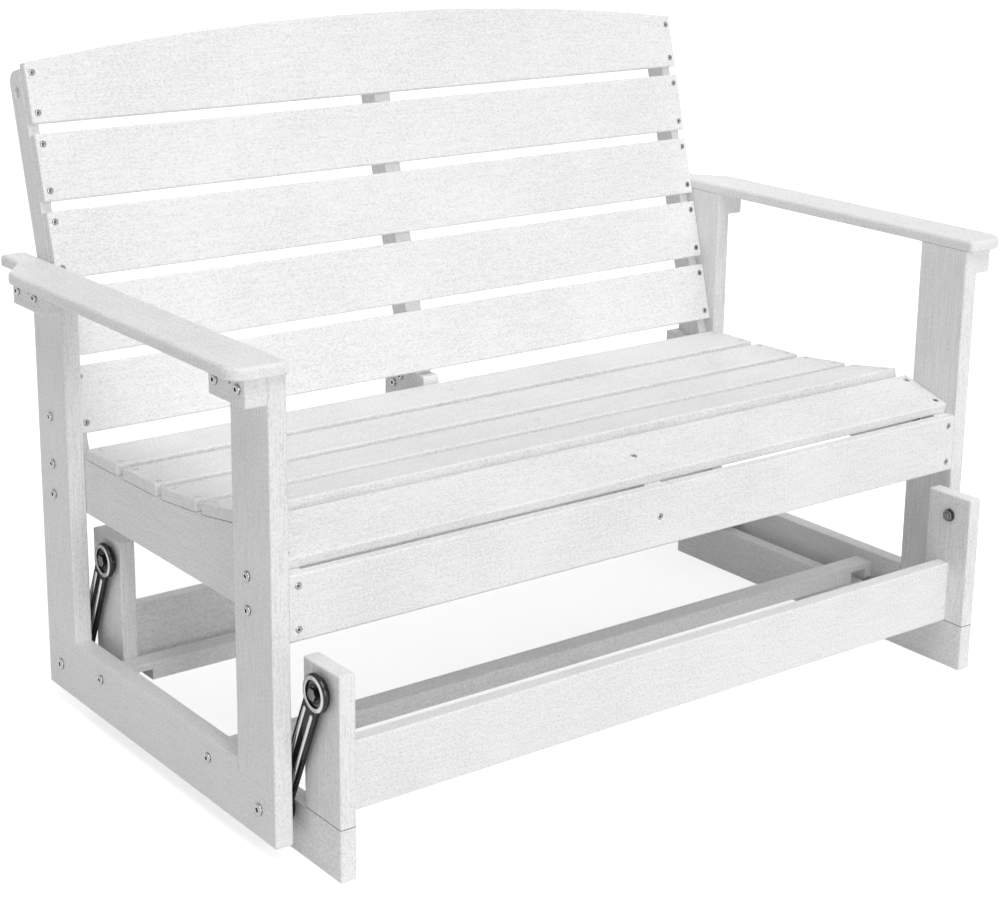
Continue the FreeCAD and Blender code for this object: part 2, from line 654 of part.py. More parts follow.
for side_name, side in SIDES:
    leg_low = near_low(side, inner, d.frame_half)
    leg_x = side * (inner + d.frame_half) / 2
    sill = Piece(f"sill_{side_name}", leg_low, ZERO, ZERO)
    sill.outline("YZ_Plane", [
        (0, sill_bottom), (frame_depth, sill_bottom), (frame_depth, leg_foot), (rear_leg_y, leg_foot),
        (rear_leg_y, sill_top), (d.leg_width, sill_top), (d.leg_width, leg_foot), (0, leg_foot),
    ], d.leg_thick)
    sill.ease(d.edge_ease, lambda edge: not at_level(edge, AZ, leg_foot)
              and not (along(edge, AZ) and not at_level(edge, AY, ZERO)
                       and not at_level(edge, AY, frame_depth)))
    for end in ENDS:
        sill.drill_at(leg_low, lower_pivots[end], pivot_low, "+x", pivot_hole, d.leg_thick)
        sill.drill_at(leg_low, stretcher_mids[end], stretcher_mid, "+x", bolt_hole, d.leg_thick)

        leg = board(f"leg_{end}_{side_name}", leg_low, leg_ys[end], leg_foot,
                    d.leg_thick, d.leg_width, arm_level - leg_foot,
                    seams=[(AZ, ZERO), (AZ, arm_level - leg_foot)])
        for z in rail_bolt_zs:
            leg.drill_at(leg_low, rail_bolt_ys[end], z, "+x", bolt_hole, d.leg_thick)
        if end == "rear":
            leg.drill_at(leg_low, stile_bolt_y, stile_bolt_z, "+x", bolt_hole, d.leg_thick)
        for place in (leg_mids[end] - leg_dowel_reach, leg_mids[end] + leg_dowel_reach):
            leg.drill_at(leg_x, place, leg_foot, "+z", dowel_hole, d.dowel_reach)
            sill.drill_at(leg_x, place, leg_foot, "-z", dowel_hole, d.dowel_short)
            frame_dowels.append((leg_x, place, leg_foot, AZ, d.dowel_short, d.dowel_reach))

        block_low = near_low(side, d.frame_half, block_out)
        block_bottom = arm_level - d.block_height
        block = board(f"arm_block_{end}_{side_name}", block_low, leg_ys[end] + d.block_inset, block_bottom,
                      d.block_thick, d.leg_width - 2 * d.block_inset, d.block_height,
                      seams=[(AX, ZERO if side > 0 else d.block_thick), (AZ, d.block_height)])
        for place in (leg_mids[end] - block_bolt_reach, leg_mids[end] + block_bolt_reach):
            block.drill_at(block_low, place, block_bolt_z, "+x", bolt_hole, d.block_thick)
            leg.drill_at(side * d.frame_half, place, block_bolt_z, inward(side), bolt_hole, block_lag)
        block.drill_at(side * block_out, leg_mids[end] - d.block_hole_shift, arm_level - d.block_hole_drop,
                       inward(side), d.block_hole, d.block_hole_depth)
        block.drill_at(side * block_mid, leg_mids[end], block_bottom, "+z", screw_hole, d.block_height)
        block.drill_at(side * block_mid, leg_mids[end], block_bottom, "+z", screw_bore, d.screw_sink)

    arm = Piece(f"arm_{side_name}", ZERO, ZERO, arm_level)
    arm.outline("XY_Plane", [
        (side * inner, -d.arm_nose), (side * arm_outer, -d.arm_nose), (side * arm_outer, step_front),
        (side * arm_tail_x, step_rear), (side * arm_tail_x, arm_rear), (side * inner, arm_rear),
    ], d.arm_thick)
    arm.ease(d.arm_corner, lambda edge: along(edge, AZ) and at_level(edge, AX, side * arm_outer)
             and at_level(edge, AY, -d.arm_nose))
    arm.ease(d.arm_step_round, lambda edge: along(edge, AZ)
             and (at_level(edge, AY, step_front) or at_level(edge, AY, step_rear)))
    arm.ease(d.arm_small_round, lambda edge: along(edge, AZ)
             and (at_level(edge, AX, side * inner) or at_level(edge, AY, arm_rear)))
    arm.ease(d.arm_top_ease, lambda edge: at_level(edge, AZ, d.arm_thick))
    arm.ease(d.edge_ease, lambda edge: at_level(edge, AZ, ZERO))
    for end in ENDS:
        arm.drill_at(side * block_mid, leg_mids[end], arm_level, "+z", screw_hole,
                     d.arm_screw_reach + d.tip_room)

# Stretchers, notched over the feet, which they pass closely at the lowest point of the swing

stretcher_lag = link_gap - d.notch_side - d.stretcher_wall
for end in ENDS:
    stretcher = board(f"stretcher_{end}", -inner, stretcher_mids[end] - half_stretcher, stretcher_low,
                      2 * inner, d.stretcher_width, stretcher_height,
                      seams=[(AX, ZERO), (AX, 2 * inner)])
    for _, side in SIDES:
        notch_low = near_low(side, upright_in - d.notch_side, upright_out + d.notch_side)
        stretcher.blank(d.upright_thick + 2 * d.notch_side, d.stretcher_width, notch_high, notch_low + inner,
                        kind="PartDesign::SubtractiveBox")
        stretcher.drill_at(side * inner, stretcher_mids[end], stretcher_mid, inward(side), bolt_hole,
                           stretcher_lag)

# Seat: rails, cross rail, apron and slats

rail_front_z = slat_one.front[1] - (slat_one.front[0] - apron_back) * tangent(d.slat_one_dip)
seat_line = []
for slat in reversed(seat_slats):
    seat_line += [slat.rear, slat.front]
seat_line.append((apron_back, rail_front_z))
cross_y = rail_bolt_ys["rear"] - d.cross_rail_thick / 2
cross_rear = cross_y + d.cross_rail_thick
heel_rear = rear_leg_y + d.heel_behind
heel_front = slat_five.rear[0] + d.heel_clear
seat_screw_side = half_slat - d.screw_edge
apron_screw_zs = (apron_top - d.apron_screw_edge, apron_bottom + d.apron_screw_edge)
apron_mid = apron_bottom + d.apron_height / 2


def plate_bolt(rise):
    """A bolt of the splice plate in the centre stile, at a height above the heel."""
    return back_depth(heel_top + rise, stile_back) - d.plate_stile_in, heel_top + rise


stile_bolts = [plate_bolt(d.plate_bolt_three), plate_bolt(d.plate_bolt_four)]
plate_y = stile_bolts[0][0] - d.plate_edge
plate_low = cross_rail_top + d.plate_clear
heel_bolts = [(plate_y + d.plate_width - d.plate_edge, heel_top - d.plate_bolt_one),
              (plate_y + d.plate_edge, heel_top - d.plate_bolt_two)]


def seat_pilots(rail, x, reaches):
    """Screw holes from the undersides of the seat slats down into a rail."""
    for slat in seat_slats:
        for reach in reaches:
            y, z = slat.at(reach)
            rail.drill_turned(x, y, z, 180 - slat.rise, screw_hole, d.screw_reach + d.tip_room)


def apron_pilots(rail, x, heights):
    for z in heights:
        rail.drill_at(x, apron_back, z, "+y", screw_hole, d.apron_screw_reach + d.tip_room)


for side_name, side in SIDES:
    rail_low = near_low(side, seat_rail_in, inner)
    rail = Piece(f"seat_rail_{side_name}", rail_low, ZERO, ZERO)
    rail.outline("YZ_Plane", [(apron_back, seat_rail_bottom), (frame_depth, seat_rail_bottom),
                              (frame_depth, seat_flat)] + seat_line, d.seat_rail_thick)
    for end in ENDS:
        for z in rail_bolt_zs:
            rail.drill_at(rail_low, rail_bolt_ys[end], z, "+x", bolt_hole, d.seat_rail_thick)
    seat_pilots(rail, side * seat_screw_x, (-seat_screw_side, seat_screw_side))
    apron_pilots(rail, side * seat_screw_x, apron_screw_zs)

rail = Piece("seat_rail_centre", -centre_half, ZERO, ZERO)
rail.outline("YZ_Plane", [
    (apron_back, seat_rail_bottom), (cross_y, seat_rail_bottom), (cross_y, cross_rail_top),
    (cross_rear, cross_rail_top), (cross_rear, heel_bottom), (heel_rear, heel_bottom),
    (heel_rear, heel_top), (heel_front, heel_top), (heel_front, seat_flat)] + seat_line,
    d.centre_rail_thick)
rail.ease(d.edge_ease, lambda edge: along(edge, AX) and at_level(edge, AZ, heel_top))
seat_pilots(rail, ZERO, (ZERO,))
apron_pilots(rail, ZERO, (apron_mid,))
for y, z in heel_bolts:
    rail.drill_at(-centre_half, y, z, "+x", bolt_hole, d.centre_rail_thick)

cross = board("seat_rail_rear", -seat_rail_in, cross_y, seat_rail_bottom, 2 * seat_rail_in,
              d.cross_rail_thick, cross_rail_top - seat_rail_bottom, d.edge_ease / 2)
for _, side in SIDES:
    for z in rail_bolt_zs:
        cross.drill_at(side * seat_rail_in, rail_bolt_ys["rear"], z, inward(side), bolt_hole,
                       d.lag_reach + d.tip_room)

apron_screws = [(side * seat_screw_x, z) for _, side in SIDES for z in apron_screw_zs] + [(ZERO, apron_mid)]
apron = board("front_apron", -inner, d.apron_set, apron_bottom, 2 * inner, d.apron_thick, d.apron_height,
              seams=[(AX, ZERO), (AX, 2 * inner)])
for x, z in apron_screws:
    apron.drill_at(x, d.apron_set, z, "+y", screw_hole, d.apron_thick)
    apron.drill_at(x, d.apron_set, z, "+y", screw_bore, d.screw_sink)

seat_screws = [(side * seat_screw_x, reach) for _, side in SIDES
               for reach in (-seat_screw_side, seat_screw_side)] + [(ZERO, ZERO)]
for number, place in enumerate(seat_slats, start=1):
    slat = Piece(f"seat_slat_{number}", ZERO, place.y, place.z, -place.rise)
    slat.blank(2 * slat_end, d.seat_slat_width, d.slat_thick, -slat_end, -half_slat, 0).ease(d.edge_ease)
    for x, reach in seat_screws:
        slat.drill(x, reach, 0, "+z", screw_hole, d.slat_thick)
        slat.drill(x, reach, d.slat_thick, "-z", screw_bore, d.screw_sink)

# Back: slats on three stiles, all in the leaning plane

arch_radius = slat_end * slat_end / (2 * d.crown_rise) + d.crown_rise / 2
back_screws = []
for number in range(1, 6):
    low = (5 - number) * back_pitch
    slat = Piece(f"back_slat_{number}", ZERO, back_y + low * sine(d.back_tilt),
                 back_z + low * cosine(d.back_tilt), back_turn)
    if number == 1:
        high = d.crown_end
        slat.outline("XY_Plane", [(-slat_end, 0), (slat_end, 0), (slat_end, high), (-slat_end, high)],
                     d.slat_thick, arch=(2, d.crown_rise, arch_radius))
        slat.body.Tip.Reversed = True
    else:
        high = d.back_slat_width
        slat.blank(2 * slat_end, high, d.slat_thick, -slat_end, 0, -d.slat_thick)
    slat.ease(d.edge_ease)
    for _, side in SIDES:
        for height in (d.screw_edge, high - d.screw_edge):
            slat.drill(side * back_screw_x, height, 0, "-z", screw_hole, d.slat_thick)
            slat.drill(side * back_screw_x, height, 0, "-z", screw_bore, d.screw_sink)
            back_screws.append((side, side * back_screw_x, low + height))

stiles = [(f"back_stile_{name}", near_low(side, stile_in, inner), d.stile_thick, seat_flat, side)
          for name, side in SIDES]
stiles.append(("back_stile_centre", -centre_half, d.centre_rail_thick, heel_top, 0))
for label, x, thick, seat_z, side in stiles:
    stile = Piece(label, x, back_y, back_z, back_turn)
    front_low = (seat_z - back_z + d.slat_thick * sine(d.back_tilt)) / cosine(d.back_tilt)
    rear_low = front_low + d.stile_depth * tangent(d.back_tilt)
    stile.outline("YZ_Plane", [(front_low, -d.slat_thick), (stile_top, -d.slat_thick),
                               (stile_top, -stile_back), (rear_low, -stile_back)], thick)
    stile.ease(d.stile_round, lambda edge: along(edge, AX) and at_level(edge, AY, stile_top)
               and at_level(edge, AZ, -stile_back))
    stile.ease(d.edge_ease / 2, lambda edge: at_level(edge, AX, ZERO) or at_level(edge, AX, thick))
    bolts = [(stile_bolt_y, stile_bolt_z)] if side else stile_bolts
    for y, z in bolts:
        across, up = y - back_y, z - back_z
        stile.drill(0, across * sine(d.back_tilt) + up * cosine(d.back_tilt),
                    up * sine(d.back_tilt) - across * cosine(d.back_tilt), "+x", bolt_hole, thick)
    if side:
        stile.drill(0, stile_top - d.stile_hole_drop, -stile_middle, "+x", d.stile_hole, thick)
        for screw_side, screw_x, height in back_screws:
            if screw_side == side:
                stile.drill(screw_x - x, height, -d.slat_thick, "-z", screw_hole, d.screw_reach + d.tip_room)

plate = board("centre_plate", centre_half, plate_y, plate_low, d.plate_thick, d.plate_width,
              heel_top + d.plate_rise - plate_low, d.plate_thick / 4)
for y, z in heel_bolts + stile_bolts:
    plate.drill_at(centre_half, y, z, "+x", bolt_hole, d.plate_thick)

doc.recompute()

# Fasteners: each group is one object, with a solid for every bolt, washer, nut, screw or dowel


def point(x, y, z):
    return V(as_size(x).value, (as_size(y) - origin_y).value, as_size(z).value)


def turned(shape, place, direction):
    """The shape, made along +Z from the origin, put at the place and turned to the direction."""
    shape.Placement = FreeCAD.Placement(place, FreeCAD.Rotation(AZ, direction))
    return shape


def hexagon(radius, height):
    corners = [V(radius * math.cos(math.radians(60 * i)), radius * math.sin(math.radians(60 * i)), 0)
               for i in range(7)]
    return Part.Face(Part.makePolygon(corners)).extrude(V(0, 0, height))


def with_shank(head, shank, reach):
    return head.fuse(Part.makeCylinder(shank, reach, V(0, 0, -reach))).removeSplitter()


def domed_bolt(place, out, shank, head_rim, head_high, reach):
    """A round-headed bolt with a six-sided socket: head outward from the place, shank inward."""
    head = (shank + head_rim).value
    high = head_high.value
    dome = Part.makeCylinder(head, high)
    dome = dome.makeFillet(high * 0.8, [edge for edge in dome.Edges if at_level(edge, AZ, head_high)])
    socket = hexagon(head * 0.45, high)
    socket.translate(V(0, 0, high * 0.35))
    return turned(with_shank(dome.cut(socket), shank.value, reach.value), place, out)


def bolt(place, out, reach):
    return domed_bolt(place, out, d.bolt_shank, d.bolt_head_rim, d.bolt_head_high, reach)


def screw(place, out, reach):
    return domed_bolt(place, out, d.screw_shank, d.screw_head_rim, d.screw_head_high, reach)


def ring(place, out, shank, wall, thick):
    """A washer or spacer on a bolt."""
    disc = Part.makeCylinder((shank + wall).value, thick.value)
    return turned(disc.cut(Part.makeCylinder((shank + d.nut_play).value, thick.value)), place, out)


def nut(place, out, shank, wall, high):
    block = hexagon((shank + wall).value, high.value)
    return turned(block.cut(Part.makeCylinder((shank + d.nut_play).value, high.value)), place, out)


def nut_and_washer(x, y, z, side):
    """What holds a through bolt on the inner face at this distance from the centre plane."""
    back = -AX * side
    return [ring(point(side * x, y, z), back, d.bolt_shank, d.washer_rim, d.washer_thick),
            nut(point(side * (x - d.washer_thick), y, z), back, d.bolt_shank, d.nut_wall, d.nut_high)]


def group(label, solids):
    feature = doc.addObject("Part::Feature", label)
    feature.Label = label
    feature.Shape = Part.makeCompound(solids)
    feature.Placement = FreeCAD.Placement(V(0, 0, 0), FreeCAD.Rotation())
    pieces.append(feature)


def dowels(label, places):
    group(label, [turned(Part.makeCylinder(d.dowel_radius.value, (back + ahead).value),
                         point(x, y, z) - way * back.value, way) for x, y, z, way, back, ahead in places])


upper_bolts, lower_bolts, leg_bolts, arm_bolts, stretcher_bolts, centre_bolts = [], [], [], [], [], []
nut_hold = d.washer_thick + d.nut_high
for _, side in SIDES:
    out = AX * side
    for end in ENDS:
        y, z = upper_pivots[end], pivot_high
        head_x = upper_far + d.side_play
        nut_x = upright_in - d.washer_thick
        tail = head_x - nut_x + d.pivot_hex_high + d.pivot_tail
        head = hexagon((d.pivot_bolt + d.pivot_hex_wall).value, d.pivot_hex_high.value)
        upper_bolts += [
            turned(with_shank(head, d.pivot_bolt.value, tail.value), point(side * head_x, y, z), out),
            ring(point(side * upright_out, y, z), out, d.pivot_bolt, d.spacer_wall, d.spacer_upper),
            ring(point(side * upright_in, y, z), -out, d.pivot_bolt, d.washer_rim, d.washer_thick),
            nut(point(side * nut_x, y, z), -out, d.pivot_bolt, d.pivot_hex_wall, d.pivot_hex_high)]
        y, z = lower_pivots[end], pivot_low
        nut_x = lower_near - d.side_play
        lower_bolts += [
            domed_bolt(point(side * d.frame_half, y, z), out, d.pivot_bolt, d.pivot_head_rim,
                       d.bolt_head_high, d.frame_half - nut_x + d.pivot_hex_high),
            ring(point(side * inner, y, z), -out, d.pivot_bolt, d.spacer_wall, d.spacer_lower),
            nut(point(side * nut_x, y, z), -out, d.pivot_bolt, d.pivot_hex_wall, d.pivot_hex_high)]
        for z in rail_bolt_zs:
            y = rail_bolt_ys[end]
            if end == "front":
                leg_bolts += nut_and_washer(seat_rail_in, y, z, side)
            hold = nut_hold if end == "front" else d.lag_reach
            leg_bolts.append(bolt(point(side * d.frame_half, y, z), out,
                                  d.leg_thick + d.seat_rail_thick + hold))
        for y in (leg_mids[end] - block_bolt_reach, leg_mids[end] + block_bolt_reach):
            arm_bolts.append(bolt(point(side * block_out, y, block_bolt_z), out,
                                  d.block_thick + block_lag - d.tip_room))
        arm_bolts.append(screw(point(side * block_mid, leg_mids[end], block_bottom + d.screw_sink), -AZ,
                               d.block_height - d.screw_sink + d.arm_screw_reach))
        stretcher_bolts.append(bolt(point(side * d.frame_half, stretcher_mids[end], stretcher_mid), out,
                                    d.leg_thick + stretcher_lag - d.tip_room))
    leg_bolts.append(bolt(point(side * d.frame_half, stile_bolt_y, stile_bolt_z), out,
                          d.leg_thick + d.stile_thick + nut_hold))
    leg_bolts += nut_and_washer(stile_in, stile_bolt_y, stile_bolt_z, side)

plate_out = centre_half + d.plate_thick
for y, z in heel_bolts + stile_bolts:
    centre_bolts.append(bolt(point(-centre_half, y, z), -AX, plate_out + centre_half + d.nut_high))
    centre_bolts.append(nut(point(plate_out, y, z), AX, d.bolt_shank, d.nut_wall, d.nut_high))

screw_through = d.slat_thick - d.screw_sink
seat_screw_solids = []
for place in seat_slats:
    up = V(0, sine(place.rise).value, cosine(place.rise).value)
    for x, reach in seat_screws:
        y, z = place.at(reach)
        seat_screw_solids.append(screw(point(x, y, z) + up * screw_through.value, up,
                                       screw_through + d.screw_reach))
for x, z in apron_screws:
    seat_screw_solids.append(screw(point(x, d.apron_set + d.screw_sink, z), -AY,
                                   d.apron_thick - d.screw_sink + d.apron_screw_reach))

lean_up = V(0, sine(d.back_tilt).value, cosine(d.back_tilt).value)
lean_out = V(0, -cosine(d.back_tilt).value, sine(d.back_tilt).value)
back_screw_solids = [
    screw(point(x, back_y, back_z) + lean_up * height.value - lean_out * d.screw_sink.value, lean_out,
          screw_through + d.screw_reach) for _, x, height in back_screws]

group("pivot_bolts_upper", upper_bolts)
group("pivot_bolts_lower", lower_bolts)
group("leg_bolts", leg_bolts)
group("arm_bolts", arm_bolts)
group("stretcher_bolts", stretcher_bolts)
group("centre_bolts", centre_bolts)
group("seat_screws", seat_screw_solids)
group("back_screws", back_screw_solids)
dowels("base_dowels", base_dowels)
dowels("frame_dowels", frame_dowels)

doc.recompute()

# Every object must have worked before anything is written

for thing in doc.Objects:
    if "Invalid" in thing.State or "Error" in thing.State:
        raise RuntimeError(f"{thing.Label} failed: {thing.State}")
for piece in pieces:
    if piece.Shape.isNull() or not piece.Shape.isValid() or not piece.Shape.Solids:
        raise RuntimeError(f"{piece.Label} has no sound solid")

os.makedirs("parts", exist_ok=True)
for piece in pieces:
    piece.Shape.exportStep(f"parts/{piece.Label}.step")

print(len(pieces), "pieces; swing", round((link_slant + stop_slant).value, 4), "degrees")
for name, place in (("upper pivots", upper_pivots), ("lower pivots", lower_pivots)):
    print(name, [round((place[end] - origin_y).value, 4) for end in ENDS])
print("pivot heights", round(pivot_high.value, 4), round(pivot_low.value, 4))
print("origin", round(origin_y.value, 4), "back", round(back_y.value, 4), round(back_z.value, 4))
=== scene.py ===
# %% [markdown]
# # A white glider bench
# This lesson dresses a bench that was first drawn as solid pieces: boards, links, bolts and
# screws. The pieces come in as a fixed frame, in metres, and every one already lies where it
# belongs. Our work is the camera, the light, the finishes, and a finer model of the hardware.

# %% Load the frame
import json
import math

import bmesh
import bpy
import numpy as np
from mathutils import Matrix, Quaternion, Vector

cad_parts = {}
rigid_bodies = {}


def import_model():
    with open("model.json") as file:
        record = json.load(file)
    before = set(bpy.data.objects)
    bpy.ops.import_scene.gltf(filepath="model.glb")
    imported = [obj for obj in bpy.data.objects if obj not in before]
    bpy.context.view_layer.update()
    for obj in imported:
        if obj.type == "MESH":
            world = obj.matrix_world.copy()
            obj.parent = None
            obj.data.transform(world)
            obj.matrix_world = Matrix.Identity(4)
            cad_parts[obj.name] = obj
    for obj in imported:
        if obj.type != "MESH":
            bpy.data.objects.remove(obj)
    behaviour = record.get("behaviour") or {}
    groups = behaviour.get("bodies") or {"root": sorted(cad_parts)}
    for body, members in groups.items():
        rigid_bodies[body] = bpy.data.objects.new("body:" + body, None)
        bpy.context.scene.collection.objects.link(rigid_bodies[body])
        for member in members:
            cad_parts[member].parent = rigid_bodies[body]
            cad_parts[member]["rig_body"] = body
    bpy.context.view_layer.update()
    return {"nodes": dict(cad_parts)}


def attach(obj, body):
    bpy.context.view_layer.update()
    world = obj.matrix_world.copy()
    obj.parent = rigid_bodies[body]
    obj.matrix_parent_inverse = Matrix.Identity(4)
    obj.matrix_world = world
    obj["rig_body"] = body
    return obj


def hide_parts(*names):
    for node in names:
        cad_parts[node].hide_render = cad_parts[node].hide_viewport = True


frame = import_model()
nodes = frame["nodes"]

# %% [markdown]
# ## The camera
# The photograph was taken from the left front, a little above the arms, with a long lens. The
# camera could be dragged into place by eye, but here its place was worked out from corners of the
# bench that are easy to find in the picture: two angles, a distance, and the point that it looks
# at. A small lens shift keeps the legs nearly upright, and both arms stay inside the picture.

# %% Place the camera
AIM = Vector((-0.0438, -0.0183, 0.4705))
AZIMUTH, ELEVATION, ROLL = math.radians(-37.10), math.radians(15.48), math.radians(0.71)
DISTANCE, FARTHEST = 2.996, 100
SENSOR_MM, LENS_MM, LENS_SHIFT = 36, 76.62, -0.08

camera = bpy.data.objects.new("camera", bpy.data.cameras.new("camera"))
bpy.context.scene.collection.objects.link(camera)
backwards = Vector((math.sin(AZIMUTH) * math.cos(ELEVATION),
                    -math.cos(AZIMUTH) * math.cos(ELEVATION), math.sin(ELEVATION)))
camera.location = AIM + backwards * DISTANCE
camera.rotation_mode = "QUATERNION"
camera.rotation_quaternion = (-backwards).to_track_quat("-Z", "Y") @ Quaternion((0, 0, 1), ROLL)
camera.data.sensor_width = SENSOR_MM
camera.data.lens = LENS_MM
camera.data.shift_y = LENS_SHIFT
camera.data.clip_end = FARTHEST
bpy.context.scene.camera = camera
print("camera at", camera.location)

# %% [markdown]
# ## Nodes by name
# A finish is a small graph of nodes. These helpers add one node each and fill its sockets, so that
# the recipes below stay short. A value is either a plain number or colour, or another node's
# socket, which gets a link.

# %% Helpers that add a node


def add(tree, kind, settings=None, **inputs):
    """One node of a graph; an underscore in an input's name stands for a space or starts a number."""
    node = tree.nodes.new(kind)
    for name, value in (settings or {}).items():
        setattr(node, name, value)
    for name, value in inputs.items():
        by_number = name[1:].isdigit()
        socket = node.inputs[int(name[1:]) if by_number else name.replace("_", " ")]
        if isinstance(value, bpy.types.NodeSocket):
            tree.links.new(value, socket)
        else:
            socket.default_value = value
    return node


def math_node(tree, operation, a, b=0.0):
    return add(tree, "ShaderNodeMath", {"operation": operation}, _0=a, _1=b).outputs[0]


def weighted_sum(tree, *terms):
    """The sum of some values, each times its share."""
    total = 0.0
    for value, share in terms:
        total = math_node(tree, "ADD", math_node(tree, "MULTIPLY", value, share), total)
    return total


def blend(tree, share, low, high):
    """A colour between two others."""
    return add(tree, "ShaderNodeMix", {"data_type": "RGBA"}, _0=share, _6=low, _7=high).outputs[2]


def ranged(tree, value, low, high, start=0.0, end=1.0):
    """A value that goes from low to high while another goes from start to end."""
    return add(tree, "ShaderNodeMapRange", Value=value, _1=start, _2=end, _3=low, _4=high).outputs[0]


# %% [markdown]
# Every finish starts in the same way, with an empty material and a Principled shader. Patterns read
# the place on the bench, which may be stretched or turned first, and most of them are made of noise.

# %% Helpers that start a finish


def finish_named(name):
    """An empty material with a Principled shader, and its graph."""
    material = bpy.data.materials.new(name)
    material.use_nodes = True
    tree = material.node_tree
    tree.nodes.clear()
    shader = add(tree, "ShaderNodeBsdfPrincipled")
    output = add(tree, "ShaderNodeOutputMaterial")
    tree.links.new(shader.outputs[0], output.inputs["Surface"])
    return material, tree, shader


def place_on_bench(tree):
    return add(tree, "ShaderNodeTexCoord").outputs["Object"]


def mapped(tree, where, scale=(1, 1, 1), rotation=(0, 0, 0)):
    return add(tree, "ShaderNodeMapping", Vector=where, Scale=scale, Rotation=rotation).outputs[0]


def noise(tree, where, scale, detail=2.0, roughness=0.5):
    return add(tree, "ShaderNodeTexNoise", Vector=where, Scale=scale, Detail=detail,
               Roughness=roughness).outputs[0]


def connect(tree, shader, **sockets):
    """Links the results of a graph to the shader's inputs by name."""
    for name, value in sockets.items():
        tree.links.new(value, shader.inputs[name.replace("_", " ")])


# %% [markdown]
# ## The studio
# The photograph has a white backdrop and very soft light: tops and fronts are about equally bright,
# the sides that face left are a light grey, and the narrow edges between the slats are grey too. One
# sun half way up would light those edges as well as the fronts. So there are two: a big soft one
# high above, and a lower one from the front, which hardly reaches into the gaps and adds the sparkle
# on polished steel. The sky fills the shade, and a weak sun behind keeps the back readable when we
# walk round the bench. The sky is white to the eye and in reflections, but dimmer as a lamp, so that
# the white boards keep their shading.

# %% Build the studio
SKY_FILL, SKY_SEEN = 0.31, 1.0
KEY_STRENGTH, KEY_SOFTNESS = 1.38, math.radians(40)
KEY_FROM = Vector((-0.08, -0.42, 0.90))
FRONT_STRENGTH, FRONT_SOFTNESS = 0.88, math.radians(30)
FRONT_FROM = Vector((-0.08, -0.95, 0.30))
RIM_STRENGTH, RIM_SOFTNESS = 0.35, math.radians(60)
RIM_FROM = Vector((0.55, 0.75, 0.5))
WHITE = (1, 1, 1, 1)


def seen_directly(tree):
    """One for rays that the eye, a mirror or a glass sends out, and nought for light on its way."""
    rays = add(tree, "ShaderNodeLightPath").outputs
    mirrored = math_node(tree, "MAXIMUM", rays["Is Glossy Ray"], rays["Is Transmission Ray"])
    return math_node(tree, "MAXIMUM", rays["Is Camera Ray"], mirrored)


world = bpy.data.worlds.new("studio")
bpy.context.scene.world = world
world.use_nodes = True
sky = world.node_tree
sky.nodes.clear()
fill = add(sky, "ShaderNodeBackground", Color=WHITE, Strength=SKY_FILL)
seen = add(sky, "ShaderNodeBackground", Color=WHITE, Strength=SKY_SEEN)
either = add(sky, "ShaderNodeMixShader", _0=seen_directly(sky), _1=fill.outputs[0],
             _2=seen.outputs[0])
add(sky, "ShaderNodeOutputWorld", Surface=either.outputs[0])


def soft_sun(name, strength, softness, where_from):
    lamp = bpy.data.lights.new(name, "SUN")
    lamp.energy, lamp.angle = strength, softness
    sun = bpy.data.objects.new(name, lamp)
    sun.rotation_mode = "QUATERNION"
    sun.rotation_quaternion = where_from.to_track_quat("Z", "Y")
    bpy.context.scene.collection.objects.link(sun)


soft_sun("key_sun", KEY_STRENGTH, KEY_SOFTNESS, KEY_FROM)
soft_sun("front_sun", FRONT_STRENGTH, FRONT_SOFTNESS, FRONT_FROM)
soft_sun("rim_sun", RIM_STRENGTH, RIM_SOFTNESS, RIM_FROM)
bpy.context.scene.view_settings.view_transform = "Standard"
print("three suns and a sky")

# %% [markdown]
# ## The floor
# The floor is a plain pale disc. The picture has a white ground with hardly any shadow on it, so for
# the eye and for reflections the floor also glows. Floor and glow together are white where the light
# reaches the floor, and the bench's shadow stays on it, soft and faint.

# %% Lay the floor
FLOOR_RADIUS, FLOOR_SIDES = 30.0, 64
FLOOR_TONE, FLOOR_ROUGHNESS = (0.82, 0.82, 0.82, 1), 0.9
FLOOR_GLOW = 0.62

floor_finish, floor_tree, floor_shader = finish_named("pale_floor")
floor_shader.inputs["Base Color"].default_value = FLOOR_TONE
floor_shader.inputs["Roughness"].default_value = FLOOR_ROUGHNESS
floor_shader.inputs["Specular IOR Level"].default_value = 0.0
floor_share = math_node(floor_tree, "MULTIPLY", seen_directly(floor_tree), FLOOR_GLOW)
glow = add(floor_tree, "ShaderNodeEmission", Color=WHITE, Strength=floor_share)
floor_sum = add(floor_tree, "ShaderNodeAddShader", _0=floor_shader.outputs[0], _1=glow.outputs[0])
floor_tree.links.new(floor_sum.outputs[0], floor_tree.nodes["Material Output"].inputs["Surface"])

disc = bmesh.new()
bmesh.ops.create_circle(disc, cap_ends=True, radius=FLOOR_RADIUS, segments=FLOOR_SIDES)
floor = bpy.data.objects.new("floor", bpy.data.meshes.new("floor"))
disc.to_mesh(floor.data)
disc.free()
floor.data.materials.append(floor_finish)
bpy.context.scene.collection.objects.link(floor)
print("floor", 2 * FLOOR_RADIUS, "m across")

# %% [markdown]
# ## White poly lumber
# The boards are extruded white plastic with an embossed face. From close by, it is mottled: small
# soft pits of two or three millimetres, drawn out a little along the board, over very fine brush
# lines. A photograph of it mapped on the boards would be one way, but noise can be made at the right
# scale for any board. One recipe serves them all. It is stretched along the grain, which runs along
# each board's length, so the recipe is made once for each direction. Where an upright stands on its
# foot, shade gathers in the joint, and the recipe can draw that as a thin dark line at one height.

